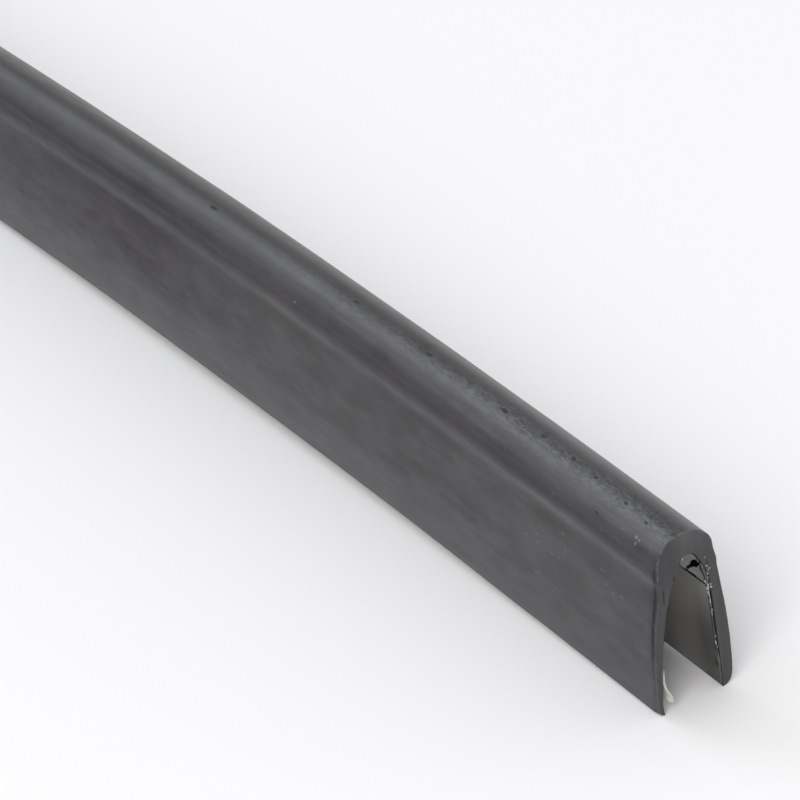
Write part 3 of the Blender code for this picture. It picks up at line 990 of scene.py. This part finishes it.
cuts = (near_end, crown_corner, bead_end, far_end)
back_line = inner_path + wall_normals * film_gap[:, None]
open_line = back_line + wall_normals * film_depth[:, None]
back_face = stretches(back_line, cuts, FILM_STEPS)
open_face = stretches(open_line, cuts, FILM_STEPS)
bead_from, bead_to = FILM_STEPS[0], FILM_STEPS[0] + FILM_STEPS[1]
line = np.linspace(0, 1, FILM_STEPS[1] + 1)[:, None]
open_face[bead_from: bead_to + 1] = open_face[bead_from] * (1 - line) + open_face[bead_to] * line
print("film pairs:", len(back_face))

# %% Make the adhesive lining
LINING_STEPS = 8
lining_stations = stations(0.5 * MM, 14 * MM, 1.12, 24 * MM)
distance = lining_stations[:, None]
pair = np.arange(len(back_face))[None]
height = back_face[:, 1]
on_near = back_face[:, 0] < 0
bead_share = smooth((pair - bead_from) / 4) * smooth((bead_to - pair) / 2)
shrunk = BEAD_SHRINK * smooth((pair - (bead_from + 0.52 * FILM_STEPS[1])) / 7) * bead_share
thickness = noise(pair / 6, distance / (3 * MM), 8) * 0.04 * MM * (1 - bead_share)
back_relief = np.broadcast_to(shrunk, (len(distance), len(back_face)))
back = strip_grid(back_face, outward(back_face, -1), back_relief, distance)
front = strip_grid(open_face, outward(open_face, -1), thickness, distance)

loose = smooth((LOOSE_HEIGHT - height) / (3.0 * MM)) ** 1.8 * on_near
curl = loose[None] * np.clip(1 - distance / LOOSE_LENGTH, 0, 1) ** 1.2
torn = np.abs(noise(pair / 1.7, 0.5, 9)) * 0.10 + np.abs(noise(pair / 4.3, 0.5, 10)) * 0.15
torn = torn + 0.6 * smooth((height - 4.5 * MM) / (2 * MM)) * on_near
torn = (torn * (1 - bead_share) + 0.05 * bead_share) * MM
near_end_share = np.exp(-distance / TEAR_LENGTH)
for grid in (back, front):
    grid[..., 0] += CURL_IN * curl
    grid[..., 1] -= CURL_DOWN * curl
    grid[..., 2] += (torn + END_GAP) * near_end_share
    grid[..., 2] -= REAR_TEAR * np.exp(-(LENGTH - grid[..., 2]) / TEAR_LENGTH)

round_back = 60 + np.linspace(0, 30, len(back_face))
film_wall = np.linalg.norm(back_face - open_face, axis=1)
shape = (len(distance), len(back_face))
edge_free = smooth((6.0 * MM - height) / (2 * MM)) * on_near * smooth(2 - distance / MM)
kind = np.stack([np.maximum(smooth(curl * 4), edge_free), np.broadcast_to(smooth(bead_share * 3), shape),
                 np.zeros(shape)], axis=-1)
lining = wall_piece("adhesive_film_and_bead", back, front, distance, (round_back, round_back + 40),
                    film_wall, LINING_STEPS, 31, adhesive, kind)
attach(lining, "root")
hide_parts("adhesive_lining")

# %% [markdown]
# The film on the far wall runs on above the bead's lower corner, behind the bead, and thins out
# towards the crown. The dark crevice between it and the bead is the space that the bead left when it
# shrank. It is a body of the same kind.

# %% Make the film behind the bead
UPPER_FROM, UPPER_TO = 15.3 * MM, 12.5 * MM
UPPER_STEPS, UPPER_LAYERS = (26,), 5
upper_cuts = [point_at(inner_path, value, FAR) for value in (UPPER_FROM, UPPER_TO)]
upper_back = stretches(inner_path + wall_normals * 0.04 * MM, upper_cuts, UPPER_STEPS)
upper_open = stretches(inner_path + wall_normals * 0.06 * MM, upper_cuts, UPPER_STEPS)
upper_share = smooth((UPPER_FROM - upper_back[:, 1]) / (1.6 * MM))
ragged = noise(np.arange(len(upper_back))[None] / 2.2, distance / (4 * MM), 14) * 0.03 * MM
upper_depth = 0.22 * MM * upper_share + ragged
grids = [strip_grid(upper_back, outward(upper_back, -1), 0 * upper_depth, distance),
         strip_grid(upper_open, outward(upper_open, -1), upper_depth, distance)]
for grid in grids:
    grid[..., 2] += 0.05 * MM * near_end_share
    grid[..., 2] -= REAR_TEAR * np.exp(-(LENGTH - grid[..., 2]) / TEAR_LENGTH)
round_upper = 90 + np.linspace(0, 3, len(upper_back))
kind = np.broadcast_to([0.0, 0.0, 1.0], upper_depth.shape + (3,))
upper_film = wall_piece("adhesive_film_behind_bead", *grids, distance, (round_upper, round_upper + 10),
                        upper_depth, UPPER_LAYERS, 33, adhesive, kind)
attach(upper_film, "root")

# %% [markdown]
# ## Crumbs
#
# Where the blade tore the film, crumbs of adhesive stick to the cut face beside the slot. Each is a
# small ball with a lumpy surface. One sphere is a grid of longitudes and latitudes with a point at
# each pole. All crumbs are made at once by giving every sphere its own place, size and lumps.

# %% Make the crumbs
CRUMBS = [
    (2.51, 15.9, 0.11, 0.1), (2.67, 14.84, 0.15, 0.12), (2.74, 14.6, 0.09, 0.14), (3.0, 14.46, 0.08, 0.1),
    (2.9, 14.37, 0.09, 0.09), (2.79, 14.24, 0.08, 0.11), (2.7, 13.9, 0.05, 0.16), (2.68, 13.4, 0.04, 0.2),
    (3.01, 12.52, 0.15, 0.13), (3.0, 12.2, 0.12, 0.18), (2.8, 12.6, 0.14, 0.06), (2.66, 12.56, 0.09, 0.07),
    (2.4, 13.1, 0.07, 0.14), (2.56, 12.22, 0.07, 0.2), (2.61, 11.66, 0.06, 0.2), (2.78, 10.8, 0.06, 0.24),
    (3.02, 6.25, 0.1, 0.13), (3.04, 5.35, 0.05, 0.2), (3.14, 4.95, 0.04, 0.16)]
CRUMB_DEPTH = 0.10
CRUMB_DARK = (0.12, 0.12, 0.118)
LONGITUDES, LATITUDES = 14, 8


def ball(longitudes, latitudes):
    """Unit sphere: rings of latitude between two poles, and its faces as quads and triangles."""
    turn = np.linspace(0, 2 * math.pi, longitudes, endpoint=False)
    tilt = np.linspace(0, math.pi, latitudes + 1)[1:-1, None]
    rings = np.stack([np.sin(tilt) * np.cos(turn), np.sin(tilt) * np.sin(turn),
                      np.cos(tilt) + 0 * turn], axis=-1).reshape(-1, 3)
    index = np.arange(len(rings)).reshape(latitudes - 1, longitudes)
    after = np.roll(index, -1, axis=1)
    bands = np.stack([index[:-1], index[1:], after[1:], after[:-1]], axis=-1).reshape(-1, 4)
    north, south = len(rings), len(rings) + 1
    tops = np.stack([np.full(longitudes, north), index[0], after[0]], axis=-1)
    bottoms = np.stack([np.full(longitudes, south), after[-1], index[-1]], axis=-1)
    return np.vstack([rings, [[0, 0, 1], [0, 0, -1]]]), bands, np.vstack([tops, bottoms])


sphere, bands, fans = ball(LONGITUDES, LATITUDES)
table = np.array(CRUMBS)
lumpy = 1 + 0.28 * noise(sphere[None, :, 0] * 2.2 + 7 * np.arange(len(table))[:, None],
                         sphere[None, :, 1] * 2.2 + 5 * sphere[None, :, 2], 12)
reach = np.column_stack([table[:, 2:], np.full(len(table), CRUMB_DEPTH)])
crumb_points = sphere[None] * lumpy[..., None] * reach[:, None] * MM
crumb_points[..., :2] += table[:, None, :2] * MM
crumb_points[..., 2] = np.clip(crumb_points[..., 2] + END_GAP + 0.06 * MM, -0.02 * MM, None) + 0.04 * MM
base = len(sphere) * np.arange(len(table))[:, None, None]
crumb_faces = (bands[None] + base).reshape(-1, 4).tolist() + (fans[None] + base).reshape(-1, 3).tolist()
crumb_mesh = bpy.data.meshes.new("adhesive_crumbs")
crumb_mesh.from_pydata(carry(crumb_points.reshape(-1, 3)), [], crumb_faces)
crumb_mesh.polygons.foreach_set("use_smooth", np.ones(len(crumb_faces), bool))
crumb_mesh.update()

white_crumb, tree, shader = new_material("white_crumb")
mottle = effect(grain, object_millimetres(tree), Scale=3.0)
crumb_colour = blend_colour(ramp(mottle, [(0.38, 0.0), (0.6, 1.0)]), CRUMB_DARK, WHITISH)
tree.links.new(crumb_colour, shader.inputs["Base Color"])
shader.inputs["Roughness"].default_value = 0.55
bumped(tree, shader, 0.4, 0.03 * MM, mottle)
crumb_mesh.materials.append(white_crumb)
crumbs = add_object("adhesive_crumbs", crumb_mesh)
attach(crumbs, "root")
print("crumbs:", len(table), "faces:", len(crumb_faces))

# %% [markdown]
# ## Floor, light and camera
#
# The strip lies on a plain pale floor. A soft lamp behind it and above draws the light band along
# the head, a low wide one behind it gives the head its pale rim, and one in front opens the cut
# face. The camera stands in front of the cut end and a little above it, at the photograph's angle.

# %% Floor
FLOOR_SIZE = 12.0
floor_mesh = bpy.data.meshes.new("floor")
half = FLOOR_SIZE / 2
floor_mesh.from_pydata([(-half, -half, 0), (half, -half, 0), (half, half, 0), (-half, half, 0)],
                       [], [(0, 1, 2, 3)])
floor = add_object("floor", floor_mesh)
floor_paint, tree, shader = new_material("pale_floor")
shader.inputs["Base Color"].default_value = (0.90, 0.90, 0.90, 1)
shader.inputs["Roughness"].default_value = 0.7
floor_mesh.materials.append(floor_paint)


# %% Lamps and surroundings
def aim(item, place, target, roll=0.0):
    """Puts a lamp or a camera at its place, turned to its target and rolled about that line."""
    item.location = place
    item.rotation_mode = "QUATERNION"
    item.rotation_quaternion = (target - place).to_track_quat("-Z", "Y") @ Quaternion((0, 0, 1), roll)


def soft_lamp(name, place, target, size, power, colour):
    """A rectangular area lamp at a place, turned to its target."""
    data = bpy.data.lights.new(name, "AREA")
    data.shape = "RECTANGLE"
    data.size, data.size_y = size
    data.energy = power
    data.color = colour
    aim(add_object(name, data), Vector(place), Vector(target))


FRONT_END = (LENGTH / 2, 0, HEIGHT / 2)
soft_lamp("back_lamp", (-0.40, -0.20, 0.69), FRONT_END, (0.6, 0.5), 2.1, (0.80, 0.88, 1.0))
soft_lamp("rim_lamp", (-0.35, 0.95, 0.16), FRONT_END, (1.4, 0.3), 1.0, (1.0, 1.0, 0.97))
soft_lamp("front_lamp", (1.15, -0.75, 0.8), FRONT_END, (0.7, 0.7), 8.0, (1.0, 0.99, 0.97))
world = bpy.data.worlds.new("surroundings")
world.use_nodes = True
sky = world.node_tree.nodes["Background"].inputs
sky["Color"].default_value = (0.99, 0.98, 1.0, 1)
sky["Strength"].default_value = 0.75
bpy.context.scene.world = world
bpy.context.scene.view_settings.view_transform = "Standard"

# %% Camera
CAMERA_PLACE = Vector((802.12, -190.22, 253.96)) * MM
CAMERA_TARGET = Vector((449.08, -0.24, 11.78)) * MM
CAMERA_ROLL = math.radians(-8.60)
camera_data = bpy.data.cameras.new("camera")
camera_data.sensor_width = 36
camera_data.lens = 202.9
camera_data.clip_start = 0.01
camera = add_object("camera", camera_data)
aim(camera, CAMERA_PLACE, CAMERA_TARGET, CAMERA_ROLL)
bpy.context.scene.camera = camera

# %% [markdown]
#
# The dressed strip has to stay inside the CAD's box.

# %% Finish
bpy.context.view_layer.update()
